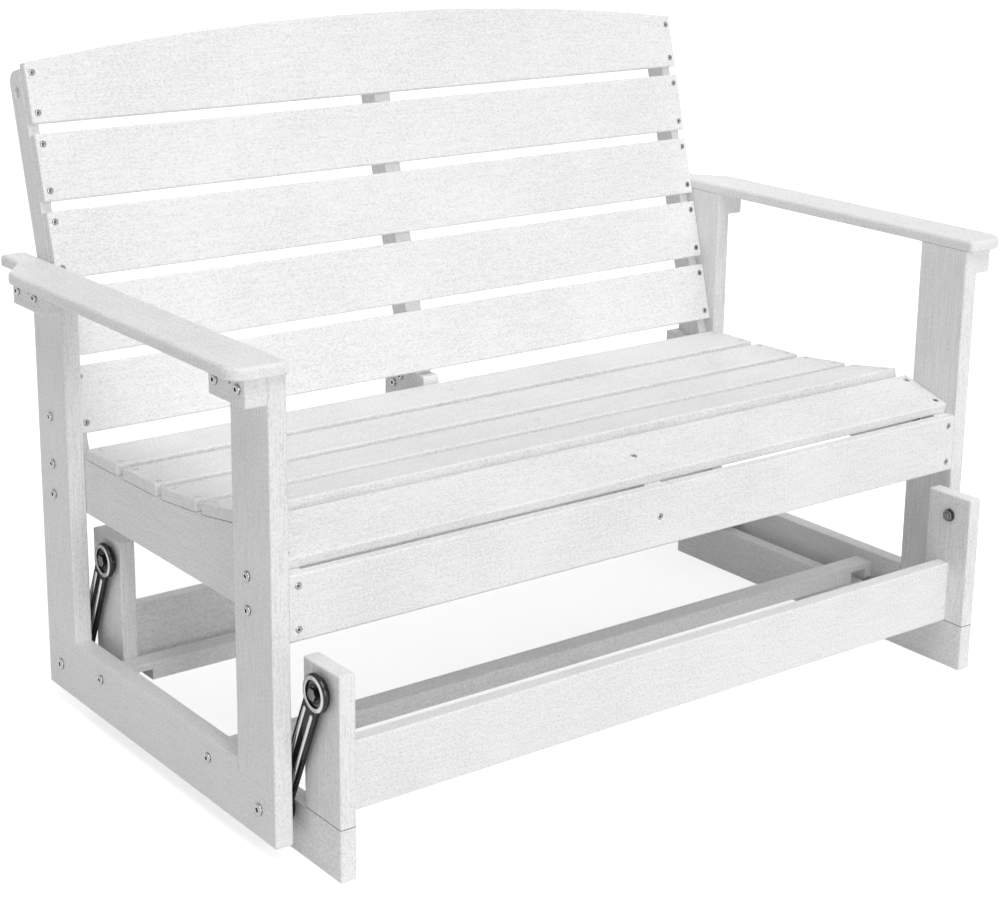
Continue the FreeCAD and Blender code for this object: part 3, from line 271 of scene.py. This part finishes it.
# %% Recipe for the boards
BOARD_LIGHT, BOARD_MID, BOARD_DARK = ((0.94, 0.94, 0.935, 1), (0.86, 0.86, 0.858, 1),
                                      (0.7, 0.703, 0.707, 1))
LIGHT_FROM, MID_AT, DARK_UNTIL = 0.62, 0.5, 0.39
PIT_SCALE, BRUSH_SCALE, CLOUD_SCALE = 440.0, 620.0, 6.0
PIT_DETAIL, PIT_ROUGHNESS = 3.0, 0.65
PIT_SHARE, BRUSH_SHARE, CLOUD_SHARE = 0.66, 0.2, 0.14
PIT_RELIEF, BRUSH_RELIEF = 0.8, 0.2
GRAIN_STRETCH, BRUSH_STRETCH = 0.6, 0.035
PIT_DEPTH, PIT_STRENGTH = 0.0005, 0.5
MATT, SATIN = 0.62, 0.46
PLASTIC_IOR = 1.5
# The colour of the painted shade in the seam, and how far above the seam it is full and where it is
# gone.
PAINTED_SEAM_SHADE = (0.1, 0.1, 0.1, 1)
SEAM_FULL, SEAM_GONE = 0.0009, 0.0017


def along_grain(share, grain):
    return tuple(share if axis == grain else 1.0 for axis in "xyz")


def lumber(name, grain, lean=0.0, pit_share=PIT_SHARE, brush_share=BRUSH_SHARE, seam=None):
    """White embossed plastic: the axis of its grain, how far that leans back, the height of a seam
    drawn with painted shade.
    """
    material, tree, shader = finish_named(name)
    where = place_on_bench(tree)
    leaning = mapped(tree, where, rotation=(lean, 0, 0))
    pits = noise(tree, mapped(tree, leaning, along_grain(GRAIN_STRETCH, grain)), PIT_SCALE,
                 PIT_DETAIL, PIT_ROUGHNESS)
    brush = noise(tree, mapped(tree, leaning, along_grain(BRUSH_STRETCH, grain)), BRUSH_SCALE)
    cloud = noise(tree, where, CLOUD_SCALE)
    tone = weighted_sum(tree, (pits, pit_share), (brush, brush_share), (cloud, CLOUD_SHARE))
    ramp = add(tree, "ShaderNodeValToRGB", Fac=tone)
    dark, light = ramp.color_ramp.elements
    dark.position, dark.color = DARK_UNTIL, BOARD_DARK
    light.position, light.color = LIGHT_FROM, BOARD_LIGHT
    ramp.color_ramp.elements.new(MID_AT).color = BOARD_MID
    colour = ramp.outputs[0]
    # Painted shade: the colour turns dark at the upright's foot and fades out just above the seam.
    if seam is not None:
        level = add(tree, "ShaderNodeSeparateXYZ", Vector=where).outputs["Z"]
        shaded = ranged(tree, level, 1.0, 0.0, seam + SEAM_FULL, seam + SEAM_GONE)
        colour = blend(tree, shaded, colour, PAINTED_SEAM_SHADE)
    height = weighted_sum(tree, (pits, PIT_RELIEF), (brush, BRUSH_RELIEF))
    bump = add(tree, "ShaderNodeBump", Height=height, Strength=PIT_STRENGTH, Distance=PIT_DEPTH)
    connect(tree, shader, Base_Color=colour, Roughness=ranged(tree, pits, MATT, SATIN),
            Normal=bump.outputs[0])
    shader.inputs["IOR"].default_value = PLASTIC_IOR
    return material


# %% [markdown]
# ## Which way the grain runs
# Slats, apron, rails and stretchers run from left to right. Arms, sills, feet and seat rails run
# from front to back. Legs and uprights stand, the uprights on the feet, and the back stiles lean
# with the back. Boards that stand show their brush lines more, so they get a larger share of them.
# The pieces could be dressed one by one, but their names already say what they are.

# %% Give the boards their finish
BACK_LEAN = math.radians(14.85)
FOOT_TOP = 0.0695
BRUSHED = {"pit_share": 0.52, "brush_share": 0.34}
BOARDS = (
    (lumber("lumber_across", "x"),
     ("seat_slat", "back_slat", "front_apron", "base_rail", "stretcher_f", "stretcher_r",
      "seat_rail_rear")),
    (lumber("lumber_deep", "y"),
     ("arm_left", "arm_right", "arm_block", "sill", "foot", "seat_rail_left", "seat_rail_right",
      "seat_rail_centre")),
    (lumber("lumber_upright", "z", **BRUSHED), ("leg_front", "leg_rear")),
    (lumber("lumber_standing", "z", seam=FOOT_TOP, **BRUSHED), ("upright",)),
    (lumber("lumber_leaning", "z", BACK_LEAN, **BRUSHED), ("back_stile",)),
)
dressed = set()


def dress(material, families):
    """Gives a finish to all the pieces whose names start in one of these ways."""
    for name, piece in nodes.items():
        if name.startswith(families):
            piece.data.materials.clear()
            piece.data.materials.append(material)
            dressed.add(name)


for material, families in BOARDS:
    dress(material, families)
print(len(dressed), "boards have their finish")

# %% [markdown]
# ## Metals
# The links are dark polished steel whose rounded beads and rims catch the light; bolts and screws
# are bright. A metal's look is what it mirrors, and here that is a white studio, so a plain grey
# metal would look pale all over. The links therefore get two tones: nearly black on the flat sheet,
# and a painted highlight, a bright colour, on the beads and rims, which stand out from it. How far
# out a point lies is its distance from the middle plane of the bench.

# %% Recipe for the metals
# How far from the middle plane the painted highlight starts, and where it is full.
SHEET_OUT, CREST_OUT = 0.5686, 0.5692
SMEAR_SCALE, SMEAR_DARK, SMEAR_LIGHT = 55.0, 0.72, 1.2
SCRATCH_LOW, SCRATCH_HIGH, SCRATCH_STRENGTH = 0.3, 0.7, 0.25


def metal(name, tone, gloss_range, scratch_scale, scratch_stretch, depth, painted_highlight=None):
    """Polished metal with fine scratches and a varying gloss; a painted highlight may lie on crests.
    """
    material, tree, shader = finish_named(name)
    where = place_on_bench(tree)
    scratch = noise(tree, mapped(tree, where, scratch_stretch), scratch_scale)
    dark = tuple(SMEAR_DARK * part for part in tone) + (1,)
    light = tuple(min(1.0, SMEAR_LIGHT * part) for part in tone) + (1,)
    shade = blend(tree, noise(tree, where, SMEAR_SCALE), dark, light)
    # A painted highlight: a bright colour on the beads and rims that stand out past the sheet.
    if painted_highlight:
        aside = add(tree, "ShaderNodeSeparateXYZ", Vector=where).outputs["X"]
        out = math_node(tree, "ABSOLUTE", aside)
        shade = blend(tree, ranged(tree, out, 0.0, 1.0, SHEET_OUT, CREST_OUT), shade, painted_highlight)
    rough = ranged(tree, scratch, *gloss_range, SCRATCH_LOW, SCRATCH_HIGH)
    bump = add(tree, "ShaderNodeBump", Height=scratch, Strength=SCRATCH_STRENGTH, Distance=depth)
    connect(tree, shader, Base_Color=shade, Roughness=rough, Normal=bump.outputs[0])
    shader.inputs["Metallic"].default_value = 1.0
    return material


# %% [markdown]
# One recipe gives five steels. They differ in tone and gloss, and in the size of their scratches,
# which are drawn out along the length of a link but stay short on a bolt's head.

# %% Mix the steels
DRAWN_LONG, DRAWN_SHORT, TURNED_ROUND = (1, 1, 0.1), (1, 1, 0.3), (1, 0.4, 0.4)
LINK_SCRATCH, BOLT_SCRATCH, BEARING_SCRATCH = 900.0, 1500.0, 1200.0
LINK_DEPTH, BOLT_DEPTH = 0.00004, 0.00003

link_steel = metal("link_steel", (0.05, 0.05, 0.052), (0.1, 0.2), LINK_SCRATCH, DRAWN_LONG,
                   LINK_DEPTH, painted_highlight=(0.55, 0.55, 0.555, 1))
bright_steel = metal("bright_steel", (0.42, 0.42, 0.43), (0.1, 0.22), BOLT_SCRATCH, DRAWN_SHORT,
                     BOLT_DEPTH)
# shade_steel is painted shade: the dark steel on the rims and in the recesses of the heads.
shade_steel = metal("shade_steel", (0.09, 0.09, 0.095), (0.3, 0.45), BOLT_SCRATCH, DRAWN_SHORT,
                    BOLT_DEPTH)
bearing_steel = metal("bearing_steel", (0.13, 0.13, 0.135), (0.2, 0.34), BEARING_SCRATCH,
                      TURNED_ROUND, BOLT_DEPTH)
pivot_steel = metal("pivot_steel", (0.2, 0.2, 0.206), (0.12, 0.25), BOLT_SCRATCH, DRAWN_SHORT,
                    BOLT_DEPTH)
print("five steels")

# %% [markdown]
# ## Seals, painted heads and dowels
# The bearings have a black seal between their rings: nitrile rubber, matt, with a little dust in it.
# In the picture the screws of the seat show only along its front edge. Those further back have heads
# painted in the white of the boards, so the eye passes over them. The dowels are birch and sit
# inside the joints; nobody sees them until the bench is taken apart, but they have a finish too. A
# flat colour would do for such small things, but one recipe with a speck of variation suits all.

# %% Recipe for the small plain finishes


def speckled(name, low, high, rough_range, scale, detail=2.0, stretch=(1, 1, 1)):
    """A plain finish that wanders between two colours and two roughnesses."""
    material, tree, shader = finish_named(name)
    speck = noise(tree, mapped(tree, place_on_bench(tree), stretch), scale, detail)
    connect(tree, shader, Base_Color=blend(tree, speck, low, high),
            Roughness=ranged(tree, speck, *rough_range))
    return material


DUST_SCALE, PEEL_SCALE, FIBRE_SCALE = 420.0, 800.0, 700.0
FINE_DETAIL, FIBRE_STRETCH = 3.0, (1, 1, 0.08)
seal_rubber = speckled("seal_rubber", (0.012, 0.012, 0.013, 1), (0.05, 0.05, 0.052, 1), (0.5, 0.75),
                       DUST_SCALE, FINE_DETAIL)
white_paint = speckled("white_paint", (0.8, 0.8, 0.8, 1), (0.9, 0.9, 0.895, 1), (0.35, 0.5),
                       PEEL_SCALE)
# shade_paint is painted shade: the darker white on the rims and in the recesses of the painted heads.
shade_paint = speckled("shade_paint", (0.62, 0.62, 0.62, 1), (0.74, 0.74, 0.735, 1), (0.35, 0.5),
                       PEEL_SCALE)
dowel_birch = speckled("dowel_birch", (0.52, 0.37, 0.21, 1), (0.72, 0.58, 0.4, 1), (0.75, 0.6),
                       FIBRE_SCALE, FINE_DETAIL, FIBRE_STRETCH)

dress(link_steel, ("link_front", "link_rear"))
dress(dowel_birch, ("base_dowels", "frame_dowels"))
dress(bright_steel, ("centre_plate",))
print(len(nodes) - len(dressed), "groups of hardware still to do")

# %% [markdown]
# ## Finding the single bolts
# The hardware was drawn in groups, such as all the bolts of the legs, with the right sizes in the
# right places but plain. Each group gets a finer model. Typing in a hundred places by hand would be
# one way; reading them from the group is surer. A copy of the group's mesh is merged, and corners
# that hang together are one solid.

# %% Helper that finds the solids of a group
SAME_PLACE = 1e-6


def solids_of(node):
    """The corners of each separate solid in a group, as arrays."""
    copy = bmesh.new()
    copy.from_mesh(node.data)
    bmesh.ops.remove_doubles(copy, verts=copy.verts, dist=SAME_PLACE)
    seen_corners, solids = set(), []
    for corner in copy.verts:
        if corner in seen_corners:
            continue
        seen_corners.add(corner)
        waiting, found = [corner], []
        while waiting:
            here = waiting.pop()
            found.append(here.co[:])
            for edge in here.link_edges:
                there = edge.other_vert(here)
                if there not in seen_corners:
                    seen_corners.add(there)
                    waiting.append(there)
        solids.append(np.array(found))
    copy.free()
    return solids


# %% [markdown]
# Bolts, nuts and rings are all round about an axis. The axis is the direction in which the corners
# spread differently from the other two: far along a bolt, and hardly at all across a washer. Every
# corner then has a height along the axis and a radius from it, and these give the sizes.

# %% Helper that measures one solid
OUTERMOST = 0.97


def measured(corners):
    """Middle, axis towards the head, heights, radii, and whether a round solid is slender."""
    middle = corners.mean(axis=0)
    spread, ways = np.linalg.eigh(np.cov((corners - middle).T))
    slender = spread[2] - spread[1] > spread[1] - spread[0]
    axis = ways[:, 2 if slender else 0]
    height = (corners - middle) @ axis
    radius = np.linalg.norm(corners - middle - np.outer(height, axis), axis=1)
    if height[radius > OUTERMOST * radius.max()].mean() < 0:
        axis, height = -axis, -height
    return middle, axis, height, radius, slender


# %% [markdown]
# ## Drawing a skin from ring to ring
# A turned piece could be spun from its profile, but a bolt's head has a six-sided socket. So a skin
# is drawn up from ring to ring instead: the open edge is extruded, and its corners are moved to the
# next outline, which is round, six-sided or a star. Each band between two rings can have its own
# finish.

# %% Helper that draws a skin
SEGMENTS = 24
STAR_POINTS, STAR_DEPTH = 6, 0.16
# The second finish of a band: painted shade on bolts, screws and nuts, and the black seal on
# bearings.
METAL, SHADE_AND_SEAL = 0, 1
WELD = 1e-7


def outline_reach(shape, radius, turn):
    """How far an outline lies from the axis in one direction."""
    if shape == "six":
        return radius * math.cos(math.pi / 6) / math.cos(turn % (math.pi / 3) - math.pi / 6)
    if shape == "star":
        return radius * (1 - STAR_DEPTH + STAR_DEPTH * math.cos(STAR_POINTS * turn))
    return radius


def draw_skin(mesh, rings, place, hollow, first_finish=0):
    """A closed skin through rings of (shape, radius, height, finish of the band below)."""
    made = bmesh.ops.create_circle(mesh, cap_ends=False, segments=SEGMENTS, radius=1.0)["verts"]
    corners, faces = [], []
    for number, (shape, radius, height, finish) in enumerate(rings):
        if number:
            grown = bmesh.ops.extrude_edge_only(mesh, edges=rim)["geom"]
            made = [part for part in grown if isinstance(part, bmesh.types.BMVert)]
            bands = [part for part in grown if isinstance(part, bmesh.types.BMFace)]
            for band in bands:
                band.material_index = finish
            faces += bands
        ring = set(made)
        rim = list(dict.fromkeys(edge for corner in made for edge in corner.link_edges
                                 if ring.issuperset(edge.verts)))
        if number == 0:
            first_rim = rim
        corners += made
        for corner in made:
            turn = math.atan2(corner.co.y, corner.co.x)
            reach = outline_reach(shape, radius, turn)
            corner.co = (reach * math.cos(turn), reach * math.sin(turn), height)
    if hollow:
        faces += bmesh.ops.bridge_loops(mesh, edges=first_rim + rim)["faces"]
    else:
        faces += bmesh.ops.edgeloop_fill(mesh, edges=first_rim)["faces"]
        if rings[-1][1] > 0:
            faces += bmesh.ops.edgeloop_fill(mesh, edges=rim)["faces"]
    for face in faces:
        face.smooth = True
        face.material_index += first_finish
    bmesh.ops.recalc_face_normals(mesh, faces=faces)
    bmesh.ops.transform(mesh, matrix=place, space=Matrix.Identity(4), verts=corners)
    bmesh.ops.remove_doubles(mesh, verts=corners, dist=WELD)


# %% [markdown]
# ## The forms of the hardware
# A bolt has a chamfered tip, the last turns of its thread, a plain shank and a head. A thread could
# be wound as a helix, but at this size rings look the same and close by themselves.

# %% Shanks and domes
MM = 0.001
PITCH, THREAD_TURNS = 1.25 * MM, 5
TIP_SHARE, ROOT_SHARE = 0.78, 0.87
EASE = 0.3 * MM


def threaded(shank, reach):
    """From the tip of a bolt up to the underside of its head."""
    start = PITCH - reach
    rings = [("round", TIP_SHARE * shank, -reach, METAL), ("round", shank, start, METAL)]
    for turn in range(THREAD_TURNS):
        rings.append(("round", ROOT_SHARE * shank, start + (turn + 0.5) * PITCH, METAL))
        rings.append(("round", shank, start + (turn + 1) * PITCH, METAL))
    return rings + [("round", shank, 0, METAL)]


def dome(head, wall, high, mouth, steps):
    """A quarter round from the wall of a head up to the mouth of its socket."""
    lifts = [0.5 * math.pi * step / steps for step in range(1, steps + 1)]
    return [("round", mouth + (head - mouth) * math.cos(lift),
             wall + (high - wall) * math.sin(lift), METAL) for lift in lifts]


# %% [markdown]
# The wood bolts have a low domed head with a six-sided socket, the screws a small domed head with a
# star recess, and the upper pivots a six-sided head, as seen through the eyes of the links. The rim
# of a head lies in its own shade, so its band gets a dark finish as painted shade, and so do the
# inner bands of sockets and recesses.

# %% Forms of bolts and screws


def socket_bolt(head, high, shank, reach):
    wall, mouth, socket = 0.24 * high, 0.54 * head, 0.43 * head
    chamfer, bottom, point = 1.06 * socket, 0.35 * high, 0.15 * high
    # The underside and rim of the head and the inside of the socket get the dark finish, as painted
    # shade.
    return (threaded(shank, reach)
            + [("round", head - EASE, 0, SHADE_AND_SEAL), ("round", head, EASE, SHADE_AND_SEAL),
               ("round", head, wall, SHADE_AND_SEAL)]
            + dome(head, wall, high, mouth, 5)
            + [("six", chamfer, high - 0.5 * EASE, METAL), ("six", socket, high - 1.5 * EASE, METAL),
               ("six", socket, bottom, SHADE_AND_SEAL), ("round", 0.0, point, SHADE_AND_SEAL)])


def star_screw(head, high, shank, reach):
    wall, mouth, socket = 0.2 * high, 0.6 * head, 0.5 * head
    narrow, bottom, point = 0.9 * socket, 0.4 * high, 0.25 * high
    tip, taper = 0.25 * shank, 0.85 * reach
    # The underside and rim of the head and the star recess get the dark finish, as painted shade.
    return ([("round", tip, -reach, METAL), ("round", shank, -taper, METAL),
             ("round", shank, 0, METAL), ("round", head, 0, SHADE_AND_SEAL), ("round", head, wall, SHADE_AND_SEAL)]
            + dome(head, wall, high, mouth, 3)
            + [("star", socket, high - 0.5 * EASE, METAL), ("star", narrow, bottom, SHADE_AND_SEAL),
               ("round", 0.0, point, SHADE_AND_SEAL)])


def six_sided_bolt(head, high, shank, reach):
    flat = 0.93 * head * math.cos(math.pi / 6)
    low_corner, high_corner = 0.1 * high, 0.84 * high
    raised, sunk = 0.86 * flat, 0.82 * flat
    # The small sunk ring on top of the head gets the dark finish, as painted shade.
    return (threaded(shank, reach)
            + [("round", flat, 0, METAL), ("six", head, low_corner, METAL),
               ("six", head, high_corner, METAL), ("round", flat, high, METAL),
               ("round", raised, high, METAL), ("round", sunk, high - EASE, SHADE_AND_SEAL),
               ("round", 0.0, high - EASE, METAL)])


print("forms for three heads")

# %% [markdown]
# Nuts, washers and bearings are rings, so their skins close on themselves. A nut's corners are
# turned off at both ends. A bearing has an inner and an outer race with a sunk seal between them.

# %% Forms of the rings


def washer(bore, outer, low, high):
    return [("round", bore, low, METAL), ("round", outer - EASE, low, METAL),
            ("round", outer, low + EASE, METAL), ("round", outer, high - EASE, METAL),
            ("round", outer - EASE, high, METAL), ("round", bore, high, METAL)]


def nut(bore, corner, low, high):
    flat, turned_off = 0.95 * corner * math.cos(math.pi / 6), 0.14 * (high - low)
    # The chamfer of the bore at the top gets the dark finish, as painted shade.
    return [("round", bore, low + EASE, METAL), ("round", bore + EASE, low, METAL),
            ("round", flat, low, METAL), ("six", corner, low + turned_off, METAL),
            ("six", corner, high - turned_off, METAL), ("round", flat, high, METAL),
            ("round", bore + EASE, high, METAL), ("round", bore, high - EASE, SHADE_AND_SEAL)]


def bearing(bore, outer, low, high):
    inner_race, outer_race, sunk = 0.56 * outer, 0.765 * outer, 0.7 * MM
    side = [(bore + EASE, 0, METAL), (inner_race, 0, METAL), (inner_race, sunk, METAL),
            (outer_race, sunk, SHADE_AND_SEAL), (outer_race, 0, METAL), (outer - EASE, 0, METAL),
            (outer, EASE, METAL)]
    finishes = [finish for _, _, finish in side]
    top = [("round", radius, high - depth, finish) for radius, depth, finish in side]
    below = [("round", radius, low + depth, finish)
             for (radius, depth, _), finish in zip(reversed(side), [METAL] + finishes[:0:-1])]
    return top + below


print("forms for three rings")

# %% [markdown]
# ## Choosing the forms
# Which form a solid gets follows from its sizes: a slender one is a bolt or a screw, a flat one a
# ring. A nut that lies on its washer shares corners with it and comes as one solid, wider at the
# washer's end.

# %% Choose the forms of a solid
SCREW_SHANK, BEARING_OUTER, WASHER_HIGH = 3 * MM, 12 * MM, 3 * MM
TIP_DEPTH, NUT_ALONE = 0.1 * MM, 0.75


def forms_of(group, height, radius, slender):
    """Where along the axis the drawing starts, and its skins as (rings, hollow)."""
    low, high, outer, bore = height.min(), height.max(), radius.max(), radius.min()
    if slender:
        shank = radius[height < low + TIP_DEPTH].max()
        seat = height[radius > 0.5 * (shank + outer)].min()
        form = star_screw if shank < SCREW_SHANK else socket_bolt
        form = six_sided_bolt if group == "pivot_bolts_upper" else form
        return seat, [(form(outer, high - seat, shank, seat - low), False)]
    if outer > BEARING_OUTER:
        return 0.0, [(bearing(bore, outer, low, high), True)]
    if high - low < WASHER_HIGH:
        return 0.0, [(washer(bore, outer, low, high), True)]
    narrower = radius[radius < OUTERMOST * outer].max()
    if narrower < NUT_ALONE * outer:
        return 0.0, [(nut(bore, outer, low, high), True)]
    step = height[radius > OUTERMOST * outer].min()
    return 0.0, [(nut(bore, narrower, low, step), True), (washer(bore, outer, step, high), True)]


# %% [markdown]
# ## Making the hardware
# Every group becomes one piece that rides on the same body as the plain group and takes its place.
# Nobody lines up the sockets when the bolts are driven in, so each is turned by a different angle.
# The screws of the seat have two more finishes, and those behind the front slat use them.

# %% Make each group
SHARP = math.radians(35)
TURN_EACH = 2.4
PAINTED, PAINTED_BEHIND = 2, -0.21
HARDWARE = (
    ("fixings", (bright_steel, shade_steel),
     ("pivot_bolts_lower", "leg_bolts", "arm_bolts", "stretcher_bolts", "centre_bolts",
      "back_screws")),
    ("fixings", (pivot_steel, shade_steel), ("pivot_bolts_upper",)),
    ("fixings", (bright_steel, shade_steel, white_paint, shade_paint), ("seat_screws",)),
    ("bearings", (bearing_steel, seal_rubber),
     ("link_bearings_front_left", "link_bearings_front_right", "link_bearings_rear_left",
      "link_bearings_rear_right")),
)
for slot_name, finishes, groups in HARDWARE:
    for group in groups:
        skin = bmesh.new()
        solids = solids_of(nodes[group])
        for number, corners in enumerate(solids):
            middle, axis, height, radius, slender = measured(corners)
            seat, skins = forms_of(group, height, radius, slender)
            upright = Vector(axis).to_track_quat("Z", "Y").to_matrix().to_4x4()
            place = (Matrix.Translation(Vector(middle + axis * seat)) @ upright
                     @ Matrix.Rotation(number * TURN_EACH, 4, "Z"))
            is_painted = group == "seat_screws" and middle[1] > PAINTED_BEHIND
            for rings, hollow in skins:
                draw_skin(skin, rings, place, hollow, PAINTED if is_painted else 0)
        for edge in skin.edges:
            edge.smooth = edge.calc_face_angle(0.0) < SHARP
        piece = bpy.data.objects.new(group + "_turned", bpy.data.meshes.new(group + "_turned"))
        skin.to_mesh(piece.data)
        skin.free()
        for finish in finishes:
            piece.data.materials.append(finish)
        bpy.context.scene.collection.objects.link(piece)
        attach(piece, nodes[group]["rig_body"])
        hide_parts(group)
        print(group, len(solids), "solids,", len(piece.data.polygons), "faces")
